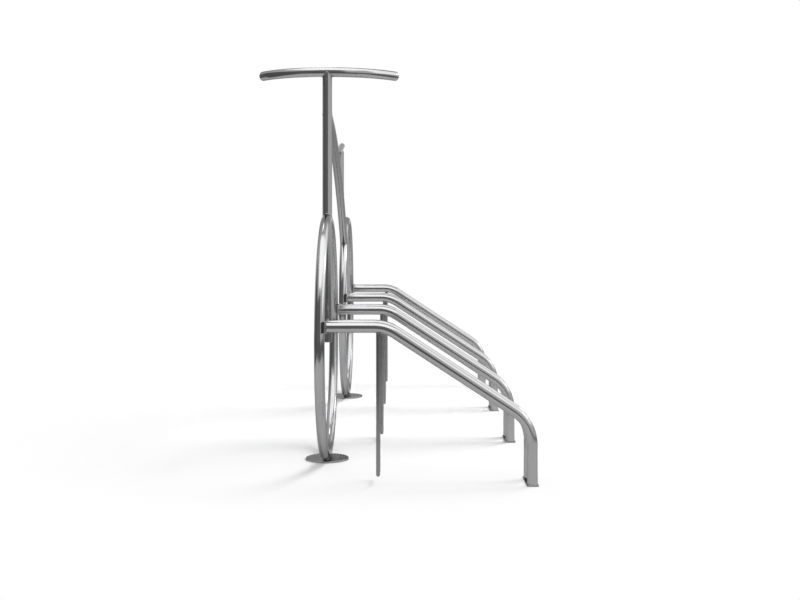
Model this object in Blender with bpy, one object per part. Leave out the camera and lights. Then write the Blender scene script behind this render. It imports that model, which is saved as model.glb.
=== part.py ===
"""Bicycle-shaped parking stand of welded stainless steel tube, with four wheel slots on one side.

Units are metres and +Z is up. The bicycle outline stands in a plane of constant X with its front
wheel towards -Y. Four parking arms reach out towards +X: each is a pair of bent tubes, welded to a
flat plate on the wheel ring at one end and to a flat foot plate on the floor at the other, with a
U-shaped rod hoop hung underneath to stop the parked wheel. The origin is on the floor at the middle
of the stand's footprint box.
"""
import math

import bmesh
import bpy
from mathutils import Vector

# Clearance left between pieces that touch on the real stand
GAP = 0.0003

# Round stock
TUBE_D = 0.0269
TUBE_WALL = 0.0020
SADDLE_D = 0.0200
SADDLE_WALL = 0.0015
ROD_D = 0.0100

# Turned end plugs, pressed into the open tube ends
PLUG_HEAD = 0.0030
PLUG_CHAMFER = 0.0010
PLUG_SPIGOT = 0.0060
PLUG_PLAY = 0.0009

# Bicycle outline: two wheel rings on round base discs
WHEELBASE = 1.200
WHEEL_D = 0.680
DISC_D = 0.120
DISC_T = 0.005
DISC_EDGE = 0.001

# Fork: how far its stub in the ring passes the hub, and how far the bar's axis is above the wheel
STUB_BELOW_HUB = 0.015
POST_RISE = 0.396

# Handlebar: between the middles of its end faces, and how far those sit behind its middle
BAR_SPAN = 0.376
BAR_SWEEP = 0.091

# Arched frame tube: joint heights and the rise of the arch above its chord
FRAME_BELOW_BAR = 0.118
FRAME_ARCH = 0.067
FRAME_RING_ANGLE = math.radians(47.4)

# Seat post behind the fork post and the short saddle tube on it
SEAT_SETBACK = 0.694
SEAT_RISE = 0.150
SADDLE_TILT = math.radians(9.5)
SADDLE_FRONT = 0.105
SADDLE_REAR = 0.137
CRADLE_DEPTH = 0.006

# Parking arms: heights above the floor, distances from the bicycle plane
ARM_HEIGHT = 0.397
ARM_KNEE = 0.168
ARM_REACH = 0.535
ARM_ELBOW = 0.157
ARM_BEND_R = 0.100
ARM_INSET = 0.0224
SLOT_WIDTH = 0.050

# Flat bar plates under the arm tubes' ends
PLATE_T = 0.005
PLATE_SIDE = 0.00155
PLATE_END = 0.0006
PLATE_EDGE = 0.0008

# Wheel hoops under the arms
HOOP_BEFORE_KNEE = 0.020
HOOP_CLEARANCE = 0.020
HOOP_BEND_R = 0.015

# Facets
TUBE_SIDES = 16
BORE_SIDES = 8
ROD_SIDES = 10
DISC_SIDES = 48
RING_STEPS = 44
ARC_STEPS = 12
BEND_STEPS = 5
SHARP_ANGLE = math.radians(40)

# Sizes worked out from the ones above
TUBE_R = TUBE_D / 2
BORE_R = TUBE_R - TUBE_WALL
SADDLE_R = SADDLE_D / 2
SADDLE_BORE_R = SADDLE_R - SADDLE_WALL
ROD_R = ROD_D / 2
RING_R = WHEEL_D / 2 - TUBE_R
HUB_Z = DISC_T + GAP + WHEEL_D / 2
BAR_Z = HUB_Z + WHEEL_D / 2 + POST_RISE
BAR_HALF_ANGLE = 2 * math.atan2(BAR_SWEEP, BAR_SPAN / 2)
BAR_R = BAR_SPAN / 2 / math.sin(BAR_HALF_ANGLE)
PLUG_RIM = GAP + PLUG_HEAD - PLUG_CHAMFER
BAR_REACH = (
    BAR_SPAN / 2
    + TUBE_R * math.sin(BAR_HALF_ANGLE)
    + PLUG_RIM * math.cos(BAR_HALF_ANGLE)
)
PLATE_W = TUBE_D + 2 * PLATE_SIDE
PAIR_SPACING = SLOT_WIDTH + TUBE_D
PLATE_LENGTH = PAIR_SPACING + TUBE_D + 2 * PLATE_END
RING_HALF_CHORD = math.sqrt(RING_R**2 - (ARM_HEIGHT - HUB_Z) ** 2)
ARM_OFFSET = RING_HALF_CHORD - ARM_INSET
BICYCLE_X = (BAR_REACH - ARM_REACH - PLATE_W / 2) / 2

# Planes in which the tubes are bent, each as its two axes
SIDE_PLANE = (Vector((0, 1, 0)), Vector((0, 0, 1)))
ARM_PLANE = (Vector((1, 0, 0)), Vector((0, 0, 1)))
FLOOR_PLANE = (Vector((1, 0, 0)), Vector((0, 1, 0)))


def clear_scene():
    for item in list(bpy.context.scene.objects):
        bpy.data.objects.remove(item, do_unlink=True)


def steel(name, colour, roughness):
    """Metal with the grey of the photographed stainless steel."""
    material = bpy.data.materials.new(name)
    material.use_nodes = True
    shader = material.node_tree.nodes["Principled BSDF"]
    shader.inputs["Base Color"].default_value = (*colour, 1)
    shader.inputs["Metallic"].default_value = 1.0
    shader.inputs["Roughness"].default_value = roughness
    return material


def add_empty(name, location, parent=None):
    empty = bpy.data.objects.new(name, None)
    empty.location = location
    empty.parent = parent
    bpy.context.scene.collection.objects.link(empty)
    return empty


def add_object(name, bm, material, parent, location=(0, 0, 0)):
    """Turn a finished bmesh into a named object, smooth over its round faces."""
    bmesh.ops.recalc_face_normals(bm, faces=bm.faces)
    mesh = bpy.data.meshes.new(name)
    bm.to_mesh(mesh)
    bm.free()
    mesh.shade_smooth()
    mesh.set_sharp_from_angle(angle=SHARP_ANGLE)
    piece = bpy.data.objects.new(name, mesh)
    piece.location = location
    piece.parent = parent
    if material:
        mesh.materials.append(material)
    bpy.context.scene.collection.objects.link(piece)
    return piece


def add_cutter(name, bm, parent, location=(0, 0, 0)):
    """A piece's outline grown by the gap, used only to cope the tubes that meet it."""
    cutter = add_object("cut_" + name, bm, None, parent, location)
    cutter.hide_render = True
    cutter.display_type = "WIRE"
    return cutter


def cope(piece, cutter):
    """Cut the end of a tube to the outline of the one it is welded to."""
    boolean = piece.modifiers.new("cope_" + cutter.name, "BOOLEAN")
    boolean.operation = "DIFFERENCE"
    boolean.object = cutter


def arc_stations(centre, radius, first_angle, last_angle, steps):
    """Points along an arc with the heading at each, in the two axes of a plane."""
    quarter = math.copysign(math.pi / 2, last_angle - first_angle)
    stations = []
    for step in range(steps + 1):
        angle = first_angle + (last_angle - first_angle) * step / steps
        along = centre[0] + radius * math.cos(angle)
        across = centre[1] + radius * math.sin(angle)
        stations.append((along, across, angle + quarter))
    return stations


def bent_stations(corners, bend_radius=0.0, steps=BEND_STEPS):
    """Straight runs between corners, with a bend of one radius at each corner between two runs."""
    points = [Vector(corner) for corner in corners]
    headings = []
    for start, end in zip(points, points[1:]):
        headings.append(math.atan2(end.y - start.y, end.x - start.x))
    stations = [(points[0].x, points[0].y, headings[0])]
    for corner, heading, next_heading in zip(points[1:], headings, headings[1:]):
        turn = math.remainder(next_heading - heading, math.tau)
        side = math.copysign(bend_radius, turn)
        before = bend_radius * math.tan(abs(turn) / 2)
        centre_x = corner.x - before * math.cos(heading) - side * math.sin(heading)
        centre_y = corner.y - before * math.sin(heading) + side * math.cos(heading)
        for step in range(steps + 1):
            angle = heading + turn * step / steps
            along = centre_x + side * math.sin(angle)
            across = centre_y - side * math.cos(angle)
            stations.append((along, across, angle))
    stations.append((points[-1].x, points[-1].y, headings[-1]))
    return stations


def section_loop(bm, station, plane, radius, sides):
    """One round section, square to the heading, with corners in the plane and square to it."""
    along, across = plane
    normal = along.cross(across)
    x, y, heading = station
    centre = along * x + across * y
    sideways = across * math.cos(heading) - along * math.sin(heading)
    loop = []
    for side in range(sides):
        angle = math.tau * side / sides
        offset = sideways * math.cos(angle) + normal * math.sin(angle)
        loop.append(bm.verts.new(centre + offset * radius))
    return loop


def join_loops(bm, loops):
    for near, far in zip(loops, loops[1:]):
        for index in range(len(near)):
            following = (index + 1) % len(near)
            bm.faces.new((near[index], near[following], far[following], far[index]))


def close_with_ring(bm, outer, bore):
    """Fill between an outer section and a bore that has fewer sides."""
    share = len(outer) // len(bore)
    for index in range(len(bore)):
        following = (index + 1) % len(bore)
        rim = [outer[(index * share + step) % len(outer)] for step in range(share + 1)]
        bm.faces.new((*rim, bore[following], bore[index]))


def bar(stations, plane, radii, sides=TUBE_SIDES):
    """A solid of round sections, with one radius for each station."""
    bm = bmesh.new()
    loops = []
    for station, radius in zip(stations, radii):
        loops.append(section_loop(bm, station, plane, radius, sides))
    join_loops(bm, loops)
    bm.faces.new(loops[0])
    bm.faces.new(loops[-1])
    return bm


def tube(stations, plane, radius, bore_radius):
    """A tube that is open at both ends."""
    bm = bmesh.new()
    outer = [section_loop(bm, station, plane, radius, TUBE_SIDES) for station in stations]
    bore = [section_loop(bm, station, plane, bore_radius, BORE_SIDES) for station in stations]
    join_loops(bm, outer)
    join_loops(bm, bore)
    close_with_ring(bm, outer[0], bore[0])
    close_with_ring(bm, outer[-1], bore[-1])
    return bm


def grown(stations, plane, radius):
    """The outline of a tube with the gap around it."""
    return bar(stations, plane, [radius + GAP] * len(stations))


def plug(end, outward, plane, radius, bore_radius):
    """A turned plug: a spigot in the bore and a chamfered head over the tube's end."""
    x, y, heading = end
    spigot_radius = bore_radius * math.cos(math.pi / BORE_SIDES) - PLUG_PLAY
    profile = (
        (-PLUG_SPIGOT, spigot_radius),
        (GAP, spigot_radius),
        (GAP, radius),
        (PLUG_RIM, radius),
        (PLUG_RIM + PLUG_CHAMFER, radius - PLUG_CHAMFER),
    )
    stations = []
    for depth, _ in profile:
        along = x + outward * depth * math.cos(heading)
        across = y + outward * depth * math.sin(heading)
        stations.append((along, across, heading))
    return bar(stations, plane, [profile_radius for _, profile_radius in profile])


def flat_plate(size):
    """A piece of flat bar with its sawn edges broken."""
    bm = bmesh.new()
    bmesh.ops.create_cube(bm, size=1.0)
    bmesh.ops.scale(bm, vec=size, verts=bm.verts)
    bmesh.ops.bevel(bm, geom=bm.edges[:], offset=PLATE_EDGE, segments=1, affect="EDGES")
    return bm


def base_disc():
    """A round base plate with its upper edge rounded."""
    bm = bmesh.new()
    bmesh.ops.create_cone(
        bm,
        cap_ends=True,
        segments=DISC_SIDES,
        radius1=DISC_D / 2,
        radius2=DISC_D / 2,
        depth=DISC_T,
    )
    rim = [edge for edge in bm.edges if all(vert.co.z > 0 for vert in edge.verts)]
    bmesh.ops.bevel(bm, geom=rim, offset=DISC_EDGE, segments=2, profile=0.5, affect="EDGES")
    return bm


def ring_stations():
    """A rolled ring whose two ends meet at a seam over the base disc."""
    half_seam = GAP / 2 / RING_R
    first = -math.pi / 2 + half_seam
    last = math.pi * 3 / 2 - half_seam
    return arc_stations((0, 0), RING_R, first, last, RING_STEPS)


def bar_stations():
    start = -math.pi / 2 - BAR_HALF_ANGLE
    end = -math.pi / 2 + BAR_HALF_ANGLE
    return arc_stations((0, BAR_R), BAR_R, start, end, ARC_STEPS)


def frame_arch():
    """Centre, radius and end angles of the frame tube's arc, seen from the side."""
    front = Vector((0, BAR_Z - FRAME_BELOW_BAR))
    rear = Vector(
        (
            WHEELBASE - RING_R * math.cos(FRAME_RING_ANGLE),
            HUB_Z + RING_R * math.sin(FRAME_RING_ANGLE),
        )
    )
    chord = rear - front
    half_chord = chord.length / 2
    radius = (half_chord**2 + FRAME_ARCH**2) / (2 * FRAME_ARCH)
    down = Vector((chord.y, -chord.x)).normalized()
    centre = (front + rear) / 2 + down * (radius - FRAME_ARCH)
    front_angle = math.atan2(front.y - centre.y, front.x - centre.x)
    rear_angle = math.atan2(rear.y - centre.y, rear.x - centre.x)
    return centre, radius, front_angle, rear_angle


def frame_height(setback):
    """Height of the frame tube's axis at a distance behind the fork post."""
    centre, radius, _, _ = frame_arch()
    return centre.y + math.sqrt(radius**2 - (setback - centre.x) ** 2)


def arm_stations():
    start = TUBE_R + GAP + PLATE_T + GAP
    corners = (
        (start, ARM_HEIGHT),
        (ARM_KNEE, ARM_HEIGHT),
        (ARM_REACH, ARM_ELBOW),
        (ARM_REACH, PLATE_T + GAP),
    )
    return bent_stations(corners, ARM_BEND_R)


def arm_height(distance):
    """Height of an arm tube's axis at a distance from the bicycle plane."""
    stations = arm_stations()
    for (x0, z0, _), (x1, z1, _) in zip(stations, stations[1:]):
        if x0 <= distance < x1:
            return z0 + (z1 - z0) * (distance - x0) / (x1 - x0)
    return stations[-1][1]


def build_wheel(name, centre_y, root, material, disc_material):
    """A tube ring on its base disc; returns the ring's cutter."""
    stations = ring_stations()
    hub = (0, centre_y, HUB_Z)
    ring = tube(stations, SIDE_PLANE, TUBE_R, BORE_R)
    add_object(name + "_wheel_ring", ring, material, root, hub)
    foot = (0, centre_y, DISC_T / 2)
    add_object(name + "_base_disc", base_disc(), disc_material, root, foot)
    return add_cutter(name + "_ring", grown(stations, SIDE_PLANE, TUBE_R), root, hub)


def build_handlebar(front, material, plug_material):
    """The swept-back bar with a plug in each end; returns its cutter."""
    stations = bar_stations()
    place = (0, 0, BAR_Z)
    add_object("handlebar", tube(stations, FLOOR_PLANE, TUBE_R, BORE_R), material, front, place)
    ends = (("left", stations[0], -1), ("right", stations[-1], 1))
    for side, end, outward in ends:
        head = plug(end, outward, FLOOR_PLANE, TUBE_R, BORE_R)
        add_object("handlebar_plug_" + side, head, plug_material, front, place)
    return add_cutter("handlebar", grown(stations, FLOOR_PLANE, TUBE_R), front, place)


def build_fork(front, bar_cutter, ring_cutter, material, plug_material):
    """The post from ring to bar and the stub inside the ring; returns the post's cutter."""
    ring_top = HUB_Z + RING_R
    stub_stations = bent_stations(((0, HUB_Z - STUB_BELOW_HUB), (0, ring_top)))
    stub = add_object("fork_stub", tube(stub_stations, SIDE_PLANE, TUBE_R, BORE_R), material, front)
    cope(stub, ring_cutter)
    foot = plug(stub_stations[0], -1, SIDE_PLANE, TUBE_R, BORE_R)
    add_object("fork_stub_plug", foot, plug_material, front)
    post_stations = bent_stations(((0, ring_top), (0, BAR_Z)))
    post = add_object("fork_post", tube(post_stations, SIDE_PLANE, TUBE_R, BORE_R), material, front)
    cope(post, ring_cutter)
    cope(post, bar_cutter)
    return add_cutter("fork_post", grown(post_stations, SIDE_PLANE, TUBE_R), front)


def build_frame_tube(front, post_cutter, rear_ring_cutter, material):
    """The arched tube from the fork post to the rear ring; returns its cutter."""
    stations = arc_stations(*frame_arch(), ARC_STEPS)
    frame = add_object("frame_tube", tube(stations, SIDE_PLANE, TUBE_R, BORE_R), material, front)
    cope(frame, post_cutter)
    cope(frame, rear_ring_cutter)
    return add_cutter("frame_tube", grown(stations, SIDE_PLANE, TUBE_R), front)


def build_saddle(front, frame_cutter, material, plug_material):
    """The seat post on the frame tube and the tilted saddle tube on the post."""
    base = frame_height(SEAT_SETBACK)
    saddle_z = base + SEAT_RISE
    run = Vector((math.cos(SADDLE_TILT), math.sin(SADDLE_TILT)))
    middle = Vector((SEAT_SETBACK, saddle_z))
    stations = bent_stations((middle - run * SADDLE_FRONT, middle + run * SADDLE_REAR))
    saddle = tube(stations, SIDE_PLANE, SADDLE_R, SADDLE_BORE_R)
    add_object("saddle_tube", saddle, material, front)
    ends = (("front", stations[0], -1), ("rear", stations[-1], 1))
    for side, end, outward in ends:
        head = plug(end, outward, SIDE_PLANE, SADDLE_R, SADDLE_BORE_R)
        add_object("saddle_plug_" + side, head, plug_material, front)
    saddle_cutter = add_cutter("saddle", grown(stations, SIDE_PLANE, SADDLE_R), front)
    top = saddle_z - SADDLE_R + CRADLE_DEPTH
    post_stations = bent_stations(((SEAT_SETBACK, base), (SEAT_SETBACK, top)))
    post = add_object("seat_post", tube(post_stations, SIDE_PLANE, TUBE_R, BORE_R), material, front)
    cope(post, frame_cutter)
    cope(post, saddle_cutter)


def build_hoop(name, arm, tube_cutters, material):
    """The U-shaped rod hung from both tubes of an arm."""
    place = ARM_KNEE - HOOP_BEFORE_KNEE
    top = arm_height(place) - TUBE_R / 2
    bottom = HOOP_CLEARANCE + ROD_R
    half = PAIR_SPACING / 2
    corners = ((-half, top), (-half, bottom), (half, bottom), (half, top))
    stations = bent_stations(corners, HOOP_BEND_R)
    rod = bar(stations, SIDE_PLANE, [ROD_R] * len(stations), ROD_SIDES)
    hoop = add_object(name + "_wheel_hoop", rod, material, arm, (place, 0, 0))
    for cutter in tube_cutters:
        cope(hoop, cutter)


def build_arm(number, arm, material, plate_material, rod_material):
    """One wheel slot: two bent tubes between two plates, with the hoop under them."""
    name = "arm_%d" % number
    stations = arm_stations()
    cutters = []
    sides = (("front", -PAIR_SPACING / 2), ("rear", PAIR_SPACING / 2))
    for side, y in sides:
        bent = tube(stations, ARM_PLANE, TUBE_R, BORE_R)
        add_object("%s_%s_tube" % (name, side), bent, material, arm, (0, y, 0))
        outline = grown(stations, ARM_PLANE, TUBE_R)
        cutters.append(add_cutter("%s_%s" % (name, side), outline, arm, (0, y, 0)))
    upright = flat_plate((PLATE_T, PLATE_LENGTH, PLATE_W))
    upright_x = TUBE_R + GAP + PLATE_T / 2
    add_object(name + "_ring_plate", upright, plate_material, arm, (upright_x, 0, ARM_HEIGHT))
    foot = flat_plate((PLATE_W, PLATE_LENGTH, PLATE_T))
    add_object(name + "_foot_plate", foot, plate_material, arm, (ARM_REACH, 0, PLATE_T / 2))
    build_hoop(name, arm, cutters, rod_material)


def main():
    clear_scene()
    tube_steel = steel("tube_steel", (0.56, 0.57, 0.58), 0.24)
    plate_steel = steel("plate_steel", (0.45, 0.46, 0.47), 0.34)
    rod_steel = steel("rod_steel", (0.50, 0.51, 0.52), 0.28)
    plug_steel = steel("plug_steel", (0.40, 0.41, 0.42), 0.30)

    root = add_empty("stand", (BICYCLE_X, 0, 0))
    front = add_empty("fork_foot", (0, -WHEELBASE / 2, 0), root)

    front_cutter = build_wheel("front", -WHEELBASE / 2, root, tube_steel, plate_steel)
    rear_cutter = build_wheel("rear", WHEELBASE / 2, root, tube_steel, plate_steel)
    bar_cutter = build_handlebar(front, tube_steel, plug_steel)
    post_cutter = build_fork(front, bar_cutter, front_cutter, tube_steel, plug_steel)
    frame_cutter = build_frame_tube(front, post_cutter, rear_cutter, tube_steel)
    build_saddle(front, frame_cutter, tube_steel, plug_steel)

    number = 0
    for hub_y in (-WHEELBASE / 2, WHEELBASE / 2):
        for direction in (-1, 1):
            number += 1
            arm = add_empty("arm_%d" % number, (0, hub_y + direction * ARM_OFFSET, 0), root)
            build_arm(number, arm, tube_steel, plate_steel, rod_steel)


main()
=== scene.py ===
"""Looks of the bicycle-shaped parking stand: smooth brushed steel, welds, a white studio and the camera.

Units are metres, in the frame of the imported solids. Each faceted tube, rod, plate, disc and plug is
replaced by a smooth piece of the same size in the same place, and weld beads fill the joints.
"""
import math

import bmesh
import bpy
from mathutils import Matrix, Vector
from mathutils.kdtree import KDTree


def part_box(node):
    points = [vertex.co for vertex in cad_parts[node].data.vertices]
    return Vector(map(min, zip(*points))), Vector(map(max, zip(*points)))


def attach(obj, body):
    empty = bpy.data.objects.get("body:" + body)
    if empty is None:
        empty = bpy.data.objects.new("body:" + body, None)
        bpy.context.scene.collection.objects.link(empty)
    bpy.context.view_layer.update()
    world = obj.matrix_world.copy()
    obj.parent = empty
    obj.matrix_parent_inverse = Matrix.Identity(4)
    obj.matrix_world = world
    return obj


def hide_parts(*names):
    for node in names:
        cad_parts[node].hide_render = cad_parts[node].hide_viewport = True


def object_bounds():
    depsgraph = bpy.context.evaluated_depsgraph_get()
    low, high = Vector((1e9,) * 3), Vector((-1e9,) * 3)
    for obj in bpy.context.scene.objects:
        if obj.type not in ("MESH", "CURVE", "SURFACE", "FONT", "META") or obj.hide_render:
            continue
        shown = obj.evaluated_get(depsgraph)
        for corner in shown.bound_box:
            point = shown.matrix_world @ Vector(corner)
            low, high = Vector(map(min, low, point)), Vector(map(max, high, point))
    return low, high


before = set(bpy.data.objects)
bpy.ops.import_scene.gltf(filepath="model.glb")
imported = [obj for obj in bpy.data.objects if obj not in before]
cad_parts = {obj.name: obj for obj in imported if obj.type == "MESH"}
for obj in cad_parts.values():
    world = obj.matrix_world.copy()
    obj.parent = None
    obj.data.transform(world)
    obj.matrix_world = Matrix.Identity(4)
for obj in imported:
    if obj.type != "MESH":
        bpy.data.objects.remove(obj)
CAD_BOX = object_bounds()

BODY = "root"
GRAIN_MAP = "grain"
HEAT_LAYER = "heat"

X = Vector((1, 0, 0))
Y = Vector((0, 1, 0))
Z = Vector((0, 0, 1))


def middle(node):
    low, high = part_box(node)
    return (low + high) / 2


def extent(node):
    low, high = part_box(node)
    return high - low


# Stock sizes and places, read from the frame
TUBE_R = extent("fork_post").x / 2
SADDLE_R = extent("saddle_tube").x / 2
ROD_R = extent("arm_1_wheel_hoop").x / 2
PLANE_X = middle("fork_post").x
POST_Y = middle("fork_post").y
BAR_Z = middle("handlebar").z
RING_R = extent("rear_wheel_ring").y / 2 - TUBE_R
DISC_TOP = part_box("front_base_disc")[1].z
LEG_X = middle("arm_1_foot_plate").x
ARM_Z = middle("arm_1_ring_plate").z

# The arms are numbered from the front, two on each ring
ARMS_PER_RING = 2

# Bends, slopes and edges, as the solids have them
GAP = 0.0003
BAR_SPAN = 0.376
BAR_SWEEP = 0.091
FRAME_BELOW_BAR = 0.118
FRAME_ARCH = 0.067
FRAME_RING_ANGLE = math.radians(47.4)
SADDLE_TILT = math.radians(9.5)
CRADLE_DEPTH = 0.006
ARM_KNEE_X = PLANE_X + 0.168
ARM_ELBOW_Z = 0.157
ARM_BEND_R = 0.100
HOOP_BEND_R = 0.015
PLUG_HEAD = 0.003
PLUG_EDGE = 0.001
TUBE_WALL = 0.002

# Rounded edges of the discs and flat bars, and how deep a tube or rod runs into what it is welded to
DISC_EDGE = 0.001
BAR_EDGE = 0.0008
TUCK = 0.002

# Fineness and shading of the smooth meshes
STEP = 0.005
TUBE_SIDES = 48
ROD_SIDES = 32
DISC_SIDES = 160
EDGE_STEPS = 4
SEAT_POST_STEPS = 24
SHARP_ANGLE = math.radians(40)
FLAT_FACE_WEIGHT = 100

# Weld beads: radius on tubes, plates and rods, and the size and fineness of their ripples
TUBE_BEAD = 0.0017
PLATE_BEAD = 0.0013
ROD_BEAD = 0.0012
RIPPLE_PITCH = 0.0020
RIPPLE_DEPTH = 0.06
RIPPLE_STEPS = 5
BEAD_STEP = RIPPLE_PITCH / RIPPLE_STEPS
BEAD_SIDES = 10

# The gap beside a tube on a flat face where its bead lies, how far a plate's seams stop short of its
# corners, and how far the heat tint reaches
WEDGE_GAP = 0.0024
SEAM_INSET = 0.0015
HEAT_REACH = 0.009

# Shares of a bead's radius: how far its centre stands off the joint, how much deeper it lies where two
# tubes run flush, how thick its open ends are, and the length in which they grow by a whole radius
BEAD_STAND_OFF = 0.2
BEAD_FLUSH_SINK = 0.75
BEAD_TIP = 0.25
BEAD_TAPER = 1.5

# Finding where a tube meets another: the rounds, how much of the other tube's axis is looked at, and how
# many of its radii before the joint the search starts
MEET_ROUNDS = 4
NEAR_REACH = 6 * TUBE_R
RUN_UP = 4

# Filled while the pieces are made, for the heat tint
weld_points = []
steel_pieces = []


# Routes


def filled(points):
    """The same route with no two points more than a step apart."""
    route = [points[0]]
    for start, end in zip(points, points[1:]):
        parts = max(1, math.ceil((end - start).length / STEP))
        for part in range(1, parts + 1):
            route.append(start.lerp(end, part / parts))
    return route


def arc(centre, across, along, radius, first, last):
    """Part of a circle, from one angle to another, measured from across towards along."""
    steps = max(2, math.ceil(radius * abs(last - first) / STEP))
    route = []
    for step in range(steps + 1):
        angle = first + (last - first) * step / steps
        route.append(centre + (across * math.cos(angle) + along * math.sin(angle)) * radius)
    return route


def bent(corners, bend_radius):
    """Straight runs joined by bends of one radius."""
    route = [corners[0]]
    for before, corner, after in zip(corners, corners[1:], corners[2:]):
        into = (corner - before).normalized()
        out = (after - corner).normalized()
        turn = into.angle(out)
        inward = (out - into * out.dot(into)).normalized()
        start = corner - into * bend_radius * math.tan(turn / 2)
        route += arc(start + inward * bend_radius, -inward, into, bend_radius, 0, turn)
    route.append(corners[-1])
    return filled(route)


def headings(route, closed=False):
    """Unit tangent at each point of a route."""
    count = len(route)
    found = []
    for index in range(count):
        before = route[index - 1] if closed or index else route[index]
        after = route[(index + 1) % count] if closed or index + 1 < count else route[index]
        found.append((after - before).normalized())
    return found


def ring_centre(node):
    low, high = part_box(node)
    return Vector((PLANE_X, (low.y + high.y) / 2, low.z + TUBE_R + RING_R))


def ring_route(node):
    return arc(ring_centre(node), Y, Z, RING_R, 0, math.tau)[:-1]


def ring_top():
    return ring_centre("front_wheel_ring") + Z * RING_R


def post_route():
    return filled([ring_top(), Vector((PLANE_X, POST_Y, BAR_Z))])


def stub_route():
    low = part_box("fork_stub")[0].z
    return filled([Vector((PLANE_X, POST_Y, low)), ring_top()])


def bar_route():
    half = 2 * math.atan2(BAR_SWEEP, BAR_SPAN / 2)
    radius = BAR_SPAN / 2 / math.sin(half)
    centre = Vector((PLANE_X, POST_Y + radius, BAR_Z))
    return arc(centre, -Y, X, radius, -half, half)


def frame_route():
    """The arched tube from the fork post's axis to the rear ring's axis."""
    start = Vector((PLANE_X, POST_Y, BAR_Z - FRAME_BELOW_BAR))
    out = Z * math.sin(FRAME_RING_ANGLE) - Y * math.cos(FRAME_RING_ANGLE)
    end = ring_centre("rear_wheel_ring") + out * RING_R
    half_chord = (end - start).length / 2
    radius = (half_chord**2 + FRAME_ARCH**2) / (2 * FRAME_ARCH)
    along = (end - start).normalized()
    up = X.cross(along)
    centre = (start + end) / 2 - up * (radius - FRAME_ARCH)
    half_angle = math.asin(half_chord / radius)
    return arc(centre, up, along, radius, -half_angle, half_angle)


def saddle_route():
    run = Y * math.cos(SADDLE_TILT) + Z * math.sin(SADDLE_TILT)
    length = (extent("saddle_tube").y - 2 * SADDLE_R * math.sin(SADDLE_TILT)) / math.cos(SADDLE_TILT)
    centre = middle("saddle_tube")
    return filled([centre - run * length / 2, centre + run * length / 2])


def arm_route(arm, side):
    """From inside the ring plate to inside the foot plate."""
    y = middle("%s_%s_tube" % (arm, side)).y
    start_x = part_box(arm + "_ring_plate")[1].x - TUCK
    end_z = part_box(arm + "_foot_plate")[1].z - TUCK
    corners = (
        Vector((start_x, y, ARM_Z)),
        Vector((ARM_KNEE_X, y, ARM_Z)),
        Vector((LEG_X, y, ARM_ELBOW_Z)),
        Vector((LEG_X, y, end_z)),
    )
    return bent(corners, ARM_BEND_R)


def hoop_route(arm):
    """Down from one tube of the arm, across and up to the other."""
    low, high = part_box(arm + "_wheel_hoop")
    x = (low.x + high.x) / 2
    top = high.z + TUCK
    bottom = low.z + ROD_R
    corners = (
        Vector((x, low.y + ROD_R, top)),
        Vector((x, low.y + ROD_R, bottom)),
        Vector((x, high.y - ROD_R, bottom)),
        Vector((x, high.y - ROD_R, top)),
    )
    return bent(corners, HOOP_BEND_R)


# Meshes


def grid(rows, places, closed=False, capped=True):
    """Vertices, faces and map coordinates of rows of equal length, each row a closed loop.

    places holds the distance of each row along the piece, so that the map is in metres.
    """
    sides = len(rows[0])
    verts = [point for row in rows for point in row]
    faces = []
    uvs = []
    last = len(rows) if closed else len(rows) - 1
    for index in range(last):
        following = (index + 1) % len(rows)
        u0 = places[index]
        u1 = places[following] if following else places[-1] + (places[1] - places[0])
        around = sum((a - b).length for a, b in zip(rows[index], rows[index][1:] + rows[index][:1]))
        for side in range(sides):
            after = (side + 1) % sides
            v0 = around * side / sides
            v1 = around * (side + 1) / sides
            faces.append((
                index * sides + side,
                index * sides + after,
                following * sides + after,
                following * sides + side,
            ))
            uvs += [(u0, v0), (u0, v1), (u1, v1), (u1, v0)]
    if capped and not closed:
        for row, order in ((0, -1), (len(rows) - 1, 1)):
            faces.append([row * sides + side for side in range(sides)][::order])
            centre = sum(rows[row], Vector()) / sides
            uvs += [(places[row] + (p - centre).length, 0) for p in rows[row][::order]]
    return verts, faces, uvs


def sweep(route, normal, radius, sides, closed=False):
    """A round skin along a route that lies in the plane square to normal."""
    rows = []
    places = [0]
    for point, heading in zip(route, headings(route, closed)):
        sideways = normal.cross(heading).normalized()
        row = []
        for side in range(sides):
            angle = math.tau * side / sides
            row.append(point + (sideways * math.cos(angle) + normal * math.sin(angle)) * radius)
        rows.append(row)
    for start, end in zip(route, route[1:]):
        places.append(places[-1] + (end - start).length)
    return grid(rows, places, closed)


def square_to(axis):
    """Two directions square to an axis and to each other."""
    side_one = axis.orthogonal().normalized()
    return side_one, axis.cross(side_one)


def turned(start, axis, profile, sides):
    """A solid of revolution. profile holds (distance along the axis, radius), from end to end."""
    side_one, side_two = square_to(axis)
    rows = []
    places = [0]
    for depth, radius in profile:
        row = []
        for side in range(sides):
            angle = math.tau * side / sides
            out = side_one * math.cos(angle) + side_two * math.sin(angle)
            row.append(start + axis * depth + out * radius)
        rows.append(row)
    for (z0, r0), (z1, r1) in zip(profile, profile[1:]):
        places.append(places[-1] + math.hypot(z1 - z0, r1 - r0))
    return grid(rows, places)


def rounded_end(top, radius, edge):
    """The profile of a turned piece from its side, over a rounded edge, to its flat end."""
    profile = []
    for step in range(EDGE_STEPS + 1):
        angle = math.pi / 2 * step / EDGE_STEPS
        profile.append((top - edge + edge * math.sin(angle), radius - edge + edge * math.cos(angle)))
    return profile


def joined(shapes):
    """Several shapes as one."""
    verts = []
    faces = []
    uvs = []
    for shape_verts, shape_faces, shape_uvs in shapes:
        first = len(verts)
        verts += shape_verts
        faces += [[first + corner for corner in face] for face in shape_faces]
        uvs += shape_uvs
    return verts, faces, uvs


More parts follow.
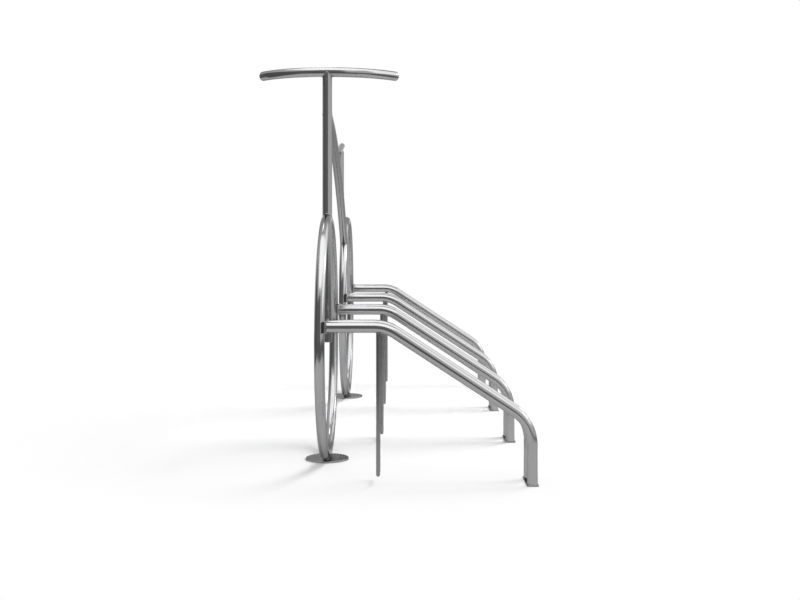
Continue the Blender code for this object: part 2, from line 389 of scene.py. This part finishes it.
def inside_box(point):
    """The same point, or the nearest one in the solids' box, where a bead or an edge would stand out."""
    return [min(max(value, low), high) for value, low, high in zip(point, *CAD_BOX)]


def add_piece(name, shape, material, nodes=()):
    """A visible piece of the stand, riding with it and standing for the solids it names."""
    verts, faces, uvs = shape
    verts = [inside_box(point) for point in verts]
    mesh = bpy.data.meshes.new(name)
    mesh.from_pydata(verts, [], faces)
    bm = bmesh.new()
    bm.from_mesh(mesh)
    bmesh.ops.recalc_face_normals(bm, faces=bm.faces)
    bm.to_mesh(mesh)
    bm.free()
    if uvs:
        write_map(mesh, faces, uvs)
    mesh.shade_smooth()
    mesh.set_sharp_from_angle(angle=SHARP_ANGLE)
    mesh.materials.append(material)
    piece = bpy.data.objects.new(name, mesh)
    bpy.context.scene.collection.objects.link(piece)
    flats = piece.modifiers.new("flat_faces", "WEIGHTED_NORMAL")
    flats.keep_sharp = True
    flats.weight = FLAT_FACE_WEIGHT
    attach(piece, BODY)
    if nodes:
        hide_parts(*nodes)
    steel_pieces.append(piece)


def write_map(mesh, faces, uvs):
    """Gives each face corner its map place, whatever order the corners have now."""
    layer = mesh.uv_layers.new(name=GRAIN_MAP)
    offset = 0
    for face, polygon in zip(faces, mesh.polygons):
        places = dict(zip(face, uvs[offset:offset + len(face)]))
        for loop in polygon.loop_indices:
            layer.data[loop].uv = places[mesh.loops[loop].vertex_index]
        offset += len(face)


def rounded_box(low, high, edge):
    """A flat bar with its edges broken round."""
    bm = bmesh.new()
    bmesh.ops.create_cube(bm, size=1.0)
    bmesh.ops.scale(bm, vec=high - low, verts=bm.verts)
    bmesh.ops.translate(bm, vec=(low + high) / 2, verts=bm.verts)
    bmesh.ops.bevel(
        bm, geom=bm.edges[:], offset=edge, segments=EDGE_STEPS, profile=0.5, affect="EDGES"
    )
    bm.verts.index_update()
    verts = [vert.co.copy() for vert in bm.verts]
    faces = [[vert.index for vert in face.verts] for face in bm.faces]
    bm.free()
    return verts, faces, []


# Weld beads


def near_axis(route, place):
    """The stretch of a route close to a place, as a function: point to (foot on the axis, heading)."""
    stretch = [
        (point, heading)
        for point, heading in zip(route, headings(route))
        if (point - place).length < NEAR_REACH
    ]

    def nearest(point):
        foot, heading = min(stretch, key=lambda item: (item[0] - point).length)
        return foot + heading * (point - foot).dot(heading), heading

    return nearest


def meet(start, direction, axis, radius):
    """Where a straight line first comes within a radius of an axis, or passes closest to it."""
    point = start
    for _ in range(MEET_ROUNDS):
        foot, heading = axis(point)
        offset = start - foot
        offset -= heading * offset.dot(heading)
        slope = direction - heading * direction.dot(heading)
        a = slope.dot(slope)
        b = offset.dot(slope)
        c = offset.dot(offset) - radius**2
        point = start + direction * (-b - math.sqrt(max(b * b - a * c, 0))) / a
    return point


def tube_joint(end, direction, radius, axis, axis_radius, bead):
    """Bead centres where a tube runs into another: (point, outward) round the whole joint."""
    side_one, side_two = square_to(direction)
    count = round(math.tau * radius / BEAD_STEP)
    path = []
    for index in range(count):
        angle = math.tau * index / count
        radial = side_one * math.cos(angle) + side_two * math.sin(angle)
        start = end + radial * radius - direction * RUN_UP * axis_radius
        point = meet(start, direction, axis, axis_radius)
        foot, heading = axis(point)
        flank = point - foot
        flank = (flank - heading * flank.dot(heading)).normalized()
        flush = max(radial.dot(flank), 0)
        outward = (radial + flank).normalized()
        stand_off = bead * (BEAD_STAND_OFF - BEAD_FLUSH_SINK * flush)
        path.append((point + outward * stand_off, outward))
    return path


def rim_joint(centre, normal, radius, bead):
    """Bead centres round a tube that stands square on a plate."""
    side_one, side_two = square_to(normal)
    count = round(math.tau * radius / BEAD_STEP)
    path = []
    for index in range(count):
        angle = math.tau * index / count
        radial = side_one * math.cos(angle) + side_two * math.sin(angle)
        outward = (radial + normal).normalized()
        path.append((centre + radial * radius + outward * bead * BEAD_STAND_OFF, outward))
    return path


def bead_shape(path, bead, closed=True):
    """A rippled bead along a path of (point, outward); an open bead tapers at both ends."""
    points = [point for point, _ in path]
    weld_points.extend(points[::RIPPLE_STEPS])
    lengths = [0]
    for start, end in zip(points, points[1:]):
        lengths.append(lengths[-1] + (end - start).length)
    total = lengths[-1] + ((points[0] - points[-1]).length if closed else 0)
    pitch = total / max(1, round(total / RIPPLE_PITCH))
    rows = []
    for (point, outward), heading, place in zip(path, headings(points, closed), lengths):
        out = (outward - heading * outward.dot(heading)).normalized()
        across = heading.cross(out)
        to_end = min(place, total - place)
        taper = 1 if closed else min(1, BEAD_TIP + to_end / (BEAD_TAPER * bead))
        row = []
        for side in range(BEAD_SIDES):
            angle = math.tau * side / BEAD_SIDES
            lag = bead * (1 - math.cos(angle))
            wave = 1 + RIPPLE_DEPTH * math.cos(math.tau * (place + lag) / pitch)
            offset = out * math.cos(angle) + across * math.sin(angle)
            row.append(point + offset * bead * wave * taper)
        rows.append(row)
    return grid(rows, lengths, closed)


def wedge_offset(radius):
    """How far beside its contact line a tube has lifted off a flat face by the wedge gap."""
    return math.sqrt(radius**2 - (radius - WEDGE_GAP) ** 2)


def disc_joint(ring_node):
    """The bead round the ring's contact with its base disc: an oval, as the ring curves upwards.

    An oval this narrow is about four half lengths round.
    """
    centre = ring_centre(ring_node)
    foot = Vector((centre.x, centre.y, DISC_TOP))
    half_width = wedge_offset(TUBE_R)
    half_length = wedge_offset(RING_R + TUBE_R)
    count = round(4 * half_length / BEAD_STEP)
    path = []
    for index in range(count):
        angle = math.tau * index / count
        offset = X * half_width * math.cos(angle) + Y * half_length * math.sin(angle)
        outward = X * math.cos(angle) / half_width + Y * math.sin(angle) / half_length
        path.append((foot + offset + Z * WEDGE_GAP / 2, outward.normalized()))
    return path


def plate_seams(arm, ring_node):
    """The two upright beads between a ring plate and the ring tube behind it."""
    low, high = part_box(arm + "_ring_plate")
    centre = ring_centre(ring_node)
    side = math.copysign(1, middle(arm + "_ring_plate").y - centre.y)
    ends = (low.z + SEAM_INSET, high.z - SEAM_INSET)
    angles = [math.asin((z - centre.z) / RING_R) for z in ends]
    seams = []
    for lateral in (-1, 1):
        path = []
        count = round((high.z - low.z) / BEAD_STEP)
        for index in range(count + 1):
            angle = angles[0] + (angles[1] - angles[0]) * index / count
            radial = Y * side * math.cos(angle) + Z * math.sin(angle)
            reach = RING_R + lateral * wedge_offset(TUBE_R)
            point = centre + radial * reach
            point.x = low.x - WEDGE_GAP / 2
            path.append((point, radial * lateral))
        seams.append(path)
    return seams


# Pieces of the bicycle outline


def build_rings(steel, plate_steel, weld_steel):
    """Both wheel rings, their base discs and the welds between them."""
    for name in ("front", "rear"):
        node = name + "_wheel_ring"
        skin = sweep(ring_route(node), X, TUBE_R, TUBE_SIDES, closed=True)
        add_piece(node + "_smooth", skin, steel, (node,))
        disc = name + "_base_disc"
        low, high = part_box(disc)
        radius = (high.y - low.y) / 2
        profile = [(0, radius)] + rounded_end(high.z - low.z, radius, DISC_EDGE)
        foot = Vector((middle(disc).x, middle(disc).y, low.z))
        shape = turned(foot, Z, profile, DISC_SIDES)
        # The disc's darker plate tone is painted shade
        add_piece(disc + "_smooth", shape, plate_steel, (disc,))
        bead = bead_shape(disc_joint(node), TUBE_BEAD)
        add_piece(name + "_disc_weld", bead, weld_steel)


def build_front(steel, weld_steel):
    """Fork post and stub, handlebar, frame tube and their welds."""
    post = post_route()
    stub = stub_route()
    bar = bar_route()
    arch = frame_route()
    tubes = (
        ("fork_post", post, X),
        ("fork_stub", stub, X),
        ("handlebar", bar, Z),
        ("frame_tube", arch, X),
    )
    for node, route, normal in tubes:
        skin = sweep(route, normal, TUBE_R, TUBE_SIDES)
        add_piece(node + "_smooth", skin, steel, (node,))

    bar_axis = near_axis(bar, post[-1])
    post_axis = near_axis(post, arch[0])
    ring_axis = near_axis(ring_route("front_wheel_ring"), post[0])
    rear_ring_axis = near_axis(ring_route("rear_wheel_ring"), arch[-1])
    # The arch is as good as straight over the two steps at each end
    ends = (
        (post[-1], Z, bar_axis),
        (post[0], -Z, ring_axis),
        (stub[-1], Z, ring_axis),
        (arch[2], (arch[0] - arch[2]).normalized(), post_axis),
        (arch[-3], (arch[-1] - arch[-3]).normalized(), rear_ring_axis),
    )
    joints = [tube_joint(end, run, TUBE_R, axis, TUBE_R, TUBE_BEAD) for end, run, axis in ends]
    beads = [bead_shape(joint, TUBE_BEAD) for joint in joints]
    add_piece("frame_welds", joined(beads), weld_steel)


def seat_post_shape(arch, saddle_axis):
    """The seat post with its bore, its top notched to cradle the saddle tube.

    The search for the notch starts a tube's radius below the skin's foot.
    """
    low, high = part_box("seat_post")
    centre = (low + high) / 2
    foot = min(arch, key=lambda point: abs(point.y - centre.y)).z
    wall = [(TUBE_R, False), (TUBE_R - TUBE_WALL, True)]
    rows = []
    places = []
    for radius, downwards in wall:
        steps = range(SEAT_POST_STEPS + 1)
        for step in reversed(steps) if downwards else steps:
            row = []
            for side in range(TUBE_SIDES):
                angle = math.tau * side / TUBE_SIDES
                skin = Vector((centre.x, centre.y, foot))
                skin += (X * math.cos(angle) + Y * math.sin(angle)) * radius
                top = high.z
                if abs(skin.x - centre.x) < SADDLE_R:
                    top = min(top, meet(skin - Z * TUBE_R, Z, saddle_axis, SADDLE_R).z)
                height = foot + (top - foot) * step / SEAT_POST_STEPS
                row.append(Vector((skin.x, skin.y, height)))
            rows.append(row)
            places.append(rows[-1][0].z - foot + (TUBE_WALL if downwards else 0))
    return grid(rows, places, capped=False)


def build_saddle(steel, weld_steel):
    """Seat post on the frame tube and the short saddle tube on it."""
    arch = frame_route()
    saddle = saddle_route()
    seat = middle("seat_post")
    seat_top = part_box("seat_post")[1]
    saddle_axis = near_axis(saddle, Vector((seat.x, seat.y, seat_top.z)))
    post = seat_post_shape(arch, saddle_axis)
    add_piece("seat_post_smooth", post, steel, ("seat_post",))
    skin = sweep(saddle, X, SADDLE_R, TUBE_SIDES)
    add_piece("saddle_tube_smooth", skin, steel, ("saddle_tube",))
    foot = min(arch, key=lambda point: abs(point.y - seat.y))
    base = Vector((seat.x, seat.y, foot.z))
    joint = tube_joint(base, -Z, TUBE_R, near_axis(arch, foot), TUBE_R, TUBE_BEAD)
    shapes = [bead_shape(joint, TUBE_BEAD)]
    for path in cradle_joints(seat, seat_top, saddle_axis):
        shapes.append(bead_shape(path, PLATE_BEAD, closed=False))
    add_piece("seat_welds", joined(shapes), weld_steel)


def cradle_joints(seat, seat_top, saddle_axis):
    """The short beads in front of and behind the seat post, where the saddle tube lies in its notch.

    The search for each point starts a tube's diameter below the post's top.
    """
    half = math.asin(math.sqrt(SADDLE_R**2 - (SADDLE_R - CRADLE_DEPTH) ** 2) / TUBE_R)
    count = round(2 * half * TUBE_R / BEAD_STEP)
    joints = []
    for side in (-1, 1):
        path = []
        for index in range(count + 1):
            angle = half * (2 * index / count - 1)
            radial = X * math.sin(angle) + Y * side * math.cos(angle)
            start = Vector((seat.x, seat.y, seat_top.z)) + radial * TUBE_R - Z * 2 * TUBE_R
            point = meet(start, Z, saddle_axis, SADDLE_R)
            outward = (radial - Z).normalized()
            path.append((point + outward * PLATE_BEAD * BEAD_STAND_OFF, outward))
        joints.append(path)
    return joints


def build_plugs(plug_steel):
    """Turned plugs in the open ends of the bar, the saddle tube and the fork stub."""
    bar = bar_route()
    saddle = saddle_route()
    stub = stub_route()
    ends = (
        ("handlebar_plug_left", bar[0], bar[0] - bar[1], TUBE_R),
        ("handlebar_plug_right", bar[-1], bar[-1] - bar[-2], TUBE_R),
        ("saddle_plug_front", saddle[0], saddle[0] - saddle[1], SADDLE_R),
        ("saddle_plug_rear", saddle[-1], saddle[-1] - saddle[-2], SADDLE_R),
        ("fork_stub_plug", stub[0], stub[0] - stub[1], TUBE_R),
    )
    for node, end, outward, radius in ends:
        spigot = radius - TUBE_WALL
        profile = [(-PLUG_EDGE, spigot), (GAP, spigot), (GAP, radius)]
        profile += rounded_end(GAP + PLUG_HEAD, radius, PLUG_EDGE)
        shape = turned(end, outward.normalized(), profile, TUBE_SIDES)
        add_piece(node + "_smooth", shape, plug_steel, (node,))


# Parking arms


def build_arm(number, steel, plate_steels, rod_steel, weld_steel):
    """One parking arm: its two tubes, two plates, wheel hoop and welds."""
    arm = "arm_%d" % number
    ring_node = "front_wheel_ring" if number <= ARMS_PER_RING else "rear_wheel_ring"
    routes = []
    shapes = []
    for side in ("front", "rear"):
        node = "%s_%s_tube" % (arm, side)
        route = arm_route(arm, side)
        routes.append(route)
        add_piece(node + "_smooth", sweep(route, Y, TUBE_R, TUBE_SIDES), steel, (node,))
        ring_face = Vector((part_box(arm + "_ring_plate")[1].x, route[0].y, ARM_Z))
        foot_face = Vector((LEG_X, route[0].y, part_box(arm + "_foot_plate")[1].z))
        shapes.append(bead_shape(rim_joint(ring_face, X, TUBE_R, PLATE_BEAD), PLATE_BEAD))
        shapes.append(bead_shape(rim_joint(foot_face, Z, TUBE_R, PLATE_BEAD), PLATE_BEAD))
    for plate in ("_ring_plate", "_foot_plate"):
        low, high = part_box(arm + plate)
        bar = rounded_box(low, high, BAR_EDGE)
        add_piece(arm + plate + "_smooth", bar, plate_steels[plate], (arm + plate,))
    shapes += [bead_shape(path, TUBE_BEAD, closed=False) for path in plate_seams(arm, ring_node)]
    hoop = hoop_route(arm)
    hoop_node = arm + "_wheel_hoop"
    skin = sweep(hoop, X, ROD_R, ROD_SIDES)
    # The hoop's darker rod tone is painted shade
    add_piece(hoop_node + "_smooth", skin, rod_steel, (hoop_node,))
    for end, route in ((hoop[0], routes[0]), (hoop[-1], routes[1])):
        joint = tube_joint(end, Z, ROD_R, near_axis(route, end), TUBE_R, ROD_BEAD)
        shapes.append(bead_shape(joint, ROD_BEAD))
    add_piece(arm + "_welds", joined(shapes), weld_steel)


# Materials

# Each finish: tone, roughness, and the brushed lines per metre along the three directions of its map
TUBE_FINISH = ((0.34, 0.34, 0.344), 0.15, (7.0, 1300.0, 1.0))
# Discs and foot plates: their tone is darker than the tubes' as painted shade, standing in for the dark
# surroundings they mirror low down near the floor
SHADED_PLATE_FINISH = ((0.28, 0.28, 0.283), 0.26, (900.0, 9.0, 900.0))
# Ring plates: the same plate steel in a much lighter tone, as painted light, so that their side faces
# don't show dark where they meet the ring
RING_PLATE_LIT_FINISH = ((0.52, 0.52, 0.525), 0.26, (900.0, 9.0, 900.0))
# Wheel hoops: their tone is darker than the tubes' as painted shade, standing in for the dark
# surroundings they mirror low down near the floor
SHADED_ROD_FINISH = ((0.24, 0.24, 0.243), 0.26, (7.0, 1500.0, 1.0))
PLUG_FINISH = ((0.30, 0.30, 0.303), 0.24, (1800.0, 6.0, 1.0))
WELD_FINISH = ((0.33, 0.33, 0.334), 0.26, (120.0, 120.0, 1.0))

# The lines are a mix of fine and coarse ones, which change tone, roughness and height a little
FINE_DETAIL = 3.0
COARSE_DETAIL = 2.0
COARSE_LINES = 0.22
COARSE_SHARE = 0.45
LINE_TONES = (0.93, 1.05)
LINE_RANGE = (0.3, 0.7)
LINE_ROUGHNESS = 0.03
LINE_DEPTH = 0.00003
LINE_STRENGTH = 0.06

# Faint smudges, per metre, and how they change the roughness
SMUDGE_SCALE = 9.0
SMUDGE_DETAIL = 4.0
SMUDGE_RANGE = (0.35, 0.75)
SMUDGE_ROUGHNESS = (-0.015, 0.035)

# Heat tint beside the welds, from untouched steel to the bead, and its share of the colour
HEAT_TINTS = (
    (0.0, (1.0, 1.0, 1.0, 1)),
    (0.35, (0.98, 0.94, 0.84, 1)),
    (0.62, (0.90, 0.80, 0.66, 1)),
    (0.82, (0.78, 0.76, 0.80, 1)),
    (1.0, (0.84, 0.84, 0.85, 1)),
)
HEAT_SHARE = 0.55
HEAT_ROUGHNESS = 0.08

# Steel seen edge-on is a little darker than a plain mirror
EDGE_TINT = (0.4, 0.4, 0.4, 1)


def add_node(tree, kind, settings=None, inputs=None):
    """A node with its settings, its values and its links."""
    made = tree.nodes.new(kind)
    for key, value in (settings or {}).items():
        setattr(made, key, value)
    for key, value in (inputs or {}).items():
        if isinstance(value, bpy.types.NodeSocket):
            tree.links.new(value, made.inputs[key])
        else:
            made.inputs[key].default_value = value
    return made


def math_node(tree, operation, first, second):
    made = add_node(tree, "ShaderNodeMath", {"operation": operation}, {0: first, 1: second})
    return made.outputs[0]


def smooth_step(tree, value, low, high, to_low=0.0, to_high=1.0):
    made = add_node(
        tree, "ShaderNodeMapRange", {"interpolation_type": "SMOOTHSTEP"},
        {"Value": value, "From Min": low, "From Max": high, "To Min": to_low, "To Max": to_high},
    )
    return made.outputs["Result"]


def blend(tree, factor, first, second):
    made = add_node(tree, "ShaderNodeMix", {"data_type": "FLOAT"}, {0: factor, 2: first, 3: second})
    return made.outputs[0]


def blend_colour(tree, factor, first, second, kind="MIX"):
    made = add_node(
        tree, "ShaderNodeMix", {"data_type": "RGBA", "blend_type": kind},
        {0: factor, 6: first, 7: second},
    )
    return made.outputs[2]


def noise(tree, place, scale, detail):
    made = add_node(
        tree, "ShaderNodeTexNoise", None, {"Vector": place, "Scale": scale, "Detail": detail}
    )
    return made.outputs["Fac"]


def stretched(tree, place, factors):
    made = add_node(tree, "ShaderNodeVectorMath", {"operation": "MULTIPLY"}, {0: place, 1: factors})
    return made.outputs[0]


def steel(name, finish, mapped=True):
    """Brushed stainless steel, its lines laid along the piece's map or, without one, along its axes."""
    tone, roughness, grain = finish
    material = bpy.data.materials.new(name)
    material.use_nodes = True
    tree = material.node_tree
    shader = tree.nodes["Principled BSDF"]
    coords = add_node(tree, "ShaderNodeTexCoord")
    if mapped:
        place = add_node(tree, "ShaderNodeUVMap", {"uv_map": GRAIN_MAP}).outputs["UV"]
    else:
        place = coords.outputs["Object"]
    fine = noise(tree, stretched(tree, place, grain), 1.0, FINE_DETAIL)
    coarse_grain = [factor * COARSE_LINES for factor in grain]
    coarse = noise(tree, stretched(tree, place, coarse_grain), 1.0, COARSE_DETAIL)
    smudges = noise(tree, coords.outputs["Object"], SMUDGE_SCALE, SMUDGE_DETAIL)
    lines = blend(tree, COARSE_SHARE, fine, coarse)

    heat = add_node(tree, "ShaderNodeAttribute", {"attribute_name": HEAT_LAYER}).outputs["Fac"]
    tint = add_node(tree, "ShaderNodeValToRGB", None, {"Fac": heat})
    ramp = tint.color_ramp
    while len(ramp.elements) < len(HEAT_TINTS):
        ramp.elements.new(0.5)
    for element, (position, colour) in zip(ramp.elements, HEAT_TINTS):
        element.position = position
        element.color = colour

    dark, light = [tuple(part * share for part in tone) for share in LINE_TONES]
    base = blend_colour(tree, lines, (*dark, 1), (*light, 1))
    heated = blend_colour(tree, 1.0, base, tint.outputs["Color"], "MULTIPLY")
    base = blend_colour(tree, HEAT_SHARE, base, heated)
    tree.links.new(base, shader.inputs["Base Color"])

    ends = (roughness - LINE_ROUGHNESS, roughness + LINE_ROUGHNESS)
    gloss = smooth_step(tree, lines, *LINE_RANGE, *ends)
    smears = smooth_step(tree, smudges, *SMUDGE_RANGE, *SMUDGE_ROUGHNESS)
    gloss = math_node(tree, "ADD", gloss, smears)
    gloss = math_node(tree, "ADD", gloss, math_node(tree, "MULTIPLY", heat, HEAT_ROUGHNESS))
    tree.links.new(gloss, shader.inputs["Roughness"])

    bump = add_node(
        tree, "ShaderNodeBump", None,
        {"Height": lines, "Strength": LINE_STRENGTH, "Distance": LINE_DEPTH},
    )
    tree.links.new(bump.outputs["Normal"], shader.inputs["Normal"])
    shader.inputs["Metallic"].default_value = 1.0
    shader.inputs["Specular Tint"].default_value = EDGE_TINT
    return material


def write_heat():
    """Stores on each vertex how near the next weld is, as 0 to 1."""
    tree = KDTree(len(weld_points))
    for index, point in enumerate(weld_points):
        tree.insert(point, index)
    tree.balance()
    for piece in steel_pieces:
        layer = piece.data.attributes.new(HEAT_LAYER, "FLOAT", "POINT")
        values = []
        for vert in piece.data.vertices:
            distance = tree.find(vert.co)[2]
            values.append(math.exp(-((distance / HEAT_REACH) ** 2)))
        layer.data.foreach_set("value", values)


# Studio

# Brightness of the background where it is seen, and of its fill light on matt surfaces
WHITE_LEVEL = 1.0
FILL_LEVEL = 0.63

# Flat soft boxes and dim screens, as lowest corner, highest corner and brightness. They stand far off,
# outside the picture, and show only in the steel.
PANELS = (
    ("ceiling_box", (-9.0, -14.0, 15.5), (9.5, 6.0, 15.5), 2.7),
    ("back_box", (-3.4, 7.5, 14.0), (-0.6, 11.5, 14.0), 6.0),
    ("side_box", (16.0, -9.0, 5.0), (16.0, 36.0, 27.0), 2.4),
    ("key_box", (12.8, 4.6, 6.4), (12.8, 7.6, 9.0), 12.0),
    ("front_screen", (-20.0, -16.0, 0.0), (5.5, -16.0, 14.0), 0.25),
    ("left_screen", (-18.0, -16.0, 0.0), (-18.0, 7.0, 13.5), 0.20),
)

# A soft lamp that lights the floor and throws the shadows. The steel doesn't mirror it.
LAMPS = (
    ("key_lamp", (2.6, -0.3, 2.5), (2.6, 2.6, 5.4), 10.5),
)

# Dim cloths on the floor, just outside the picture. They too show only in the steel.
CLOTHS = (
    ("front_cloth", (-18.0, -16.0, 0.004), (16.0, -1.86, 0.004), 0.20),
    ("left_cloth", (-18.0, -1.86, 0.004), (-1.4, 0.0, 0.004), 0.18),
    ("far_left_cloth", (-18.0, 0.0, 0.004), (-2.6, 3.6, 0.004), 0.20),
    ("right_cloth", (1.45, -1.86, 0.004), (16.0, 0.0, 0.004), 0.20),
    ("far_right_cloth", (1.85, 0.0, 0.004), (16.0, 1.2, 0.004), 0.24),
)

# The floor: its size, how far it lies under the stand, its tone, a faint glow of its own, and between
# which distances from its middle it fades to plain white
FLOOR_SIZE = 60.0
FLOOR_DROP = 0.0002
FLOOR_TONE = 0.95
FLOOR_LIFT = 0.04
FLOOR_NEAR = 0.55
FLOOR_FAR = 1.35

# The camera, as the photograph's perspective gives it: the lens and the horizon in pixels
LENS_PIXELS = 1180.0
IMAGE_WIDTH = 800.0
HORIZON_ABOVE_MIDDLE = 75.0
SENSOR = 36.0
CAMERA_PLACE = (PLANE_X + 0.2032, -3.898, 0.654)


def seen_rays(tree):
    """1 for the rays that show the background: to the camera, off the steel or through glass."""
    ray = add_node(tree, "ShaderNodeLightPath").outputs
    seen = math_node(tree, "MAXIMUM", ray["Is Camera Ray"], ray["Is Glossy Ray"])
    return math_node(tree, "MAXIMUM", seen, ray["Is Transmission Ray"])


def build_world():
    """Plain white wherever it is seen, also in the steel, and a dim fill light for the rest."""
    world = bpy.data.worlds.new("studio")
    world.use_nodes = True
    bpy.context.scene.world = world
    tree = world.node_tree
    background = tree.nodes["Background"]
    background.inputs["Color"].default_value = (1, 1, 1, 1)
    level = blend(tree, seen_rays(tree), FILL_LEVEL, WHITE_LEVEL)
    tree.links.new(level, background.inputs["Strength"])


def add_stage(name, corners, material):
    """One flat sheet that isn't part of the stand."""
    mesh = bpy.data.meshes.new(name)
    mesh.from_pydata(corners, [], [(0, 1, 2, 3)])
    mesh.materials.append(material)
    plane = bpy.data.objects.new(name, mesh)
    bpy.context.scene.collection.objects.link(plane)
    return plane


def shining(name, level):
    """A material of one plain brightness, with its tree and shader."""
    material = bpy.data.materials.new(name)
    material.use_nodes = True
    tree = material.node_tree
    tree.nodes.remove(tree.nodes["Principled BSDF"])
    glow = add_node(tree, "ShaderNodeEmission", None, {"Strength": level})
    tree.links.new(glow.outputs[0], tree.nodes["Material Output"].inputs["Surface"])
    return material, tree, glow


def add_light(name, low, high, level):
    """A flat light that no camera sees and that throws no shadow itself."""
    flat = [near == far for near, far in zip(low, high)].index(True)
    across, up = [axis for axis in range(3) if axis != flat]
    corners = []
    for pick_across, pick_up in ((0, 0), (1, 0), (1, 1), (0, 1)):
        corner = list(low)
        corner[across] = (low, high)[pick_across][across]
        corner[up] = (low, high)[pick_up][up]
        corners.append(corner)
    light = add_stage(name, corners, shining(name, level)[0])
    light.visible_camera = False
    light.visible_shadow = False
    return light


def build_lights():
    """Boxes, screens and cloths that only the steel shows, and the lamp, which it doesn't show."""
    for panel in PANELS:
        add_light(*panel).visible_diffuse = False
    for lamp in LAMPS:
        add_light(*lamp).visible_glossy = False
    for cloth in CLOTHS:
        add_light(*cloth).visible_diffuse = False


def build_floor():
    """A white floor that keeps the stand's soft shadow, and is plain white further away."""
    half = FLOOR_SIZE / 2
    sides = ((-half, -half), (half, -half), (half, half), (-half, half))
    corners = [(x, y, -FLOOR_DROP) for x, y in sides]
    material, tree, lift = shining("white_floor", WHITE_LEVEL)
    place = add_node(tree, "ShaderNodeTexCoord").outputs["Object"]
    reach = add_node(tree, "ShaderNodeVectorMath", {"operation": "LENGTH"}, {0: place}).outputs["Value"]
    far = smooth_step(tree, reach, FLOOR_NEAR, FLOOR_FAR)
    level = blend(tree, far, FLOOR_LIFT, WHITE_LEVEL)
    tree.links.new(math_node(tree, "MULTIPLY", seen_rays(tree), level), lift.inputs["Strength"])
    tone = blend_colour(tree, far, (FLOOR_TONE, FLOOR_TONE, FLOOR_TONE, 1), (0, 0, 0, 1))
    paper = add_node(tree, "ShaderNodeBsdfDiffuse", None, {"Color": tone})
    both = add_node(tree, "ShaderNodeAddShader", None, {0: paper.outputs[0], 1: lift.outputs[0]})
    tree.links.new(both.outputs[0], tree.nodes["Material Output"].inputs["Surface"])
    add_stage("studio_floor", corners, material)


def build_camera():
    """A level camera in front of the stand, its view shifted down rather than tilted."""
    data = bpy.data.cameras.new("camera")
    data.sensor_fit = "HORIZONTAL"
    data.sensor_width = SENSOR
    data.lens = LENS_PIXELS * SENSOR / IMAGE_WIDTH
    data.shift_y = -HORIZON_ABOVE_MIDDLE / IMAGE_WIDTH
    camera = bpy.data.objects.new("camera", data)
    camera.location = CAMERA_PLACE
    camera.rotation_euler = (math.pi / 2, 0, 0)
    bpy.context.scene.collection.objects.link(camera)
    bpy.context.scene.camera = camera


def main():
    tube_steel = steel("tube_steel", TUBE_FINISH)
    # The discs and foot plates take the darker plate steel, whose tone is painted shade
    plate_steel = steel("plate_steel", SHADED_PLATE_FINISH, mapped=False)
    # The ring plates take a lighter copy of the plate steel, whose tone is painted light
    lit_side_steel = steel("ring_plate_lit_steel", RING_PLATE_LIT_FINISH, mapped=False)
    arm_plate_steels = {"_ring_plate": lit_side_steel, "_foot_plate": plate_steel}
    # The hoops take the darker rod steel, whose tone is painted shade
    rod_steel = steel("rod_steel", SHADED_ROD_FINISH)
    plug_steel = steel("plug_steel", PLUG_FINISH)
    weld_steel = steel("weld_steel", WELD_FINISH)

    build_camera()
    build_world()
    build_lights()
    build_floor()
    build_rings(tube_steel, plate_steel, weld_steel)
    build_front(tube_steel, weld_steel)
    build_saddle(tube_steel, weld_steel)
    build_plugs(plug_steel)
    for number in range(1, 2 * ARMS_PER_RING + 1):
        build_arm(number, tube_steel, arm_plate_steels, rod_steel, weld_steel)
    write_heat()
    bpy.context.scene.view_settings.view_transform = "Standard"


main()
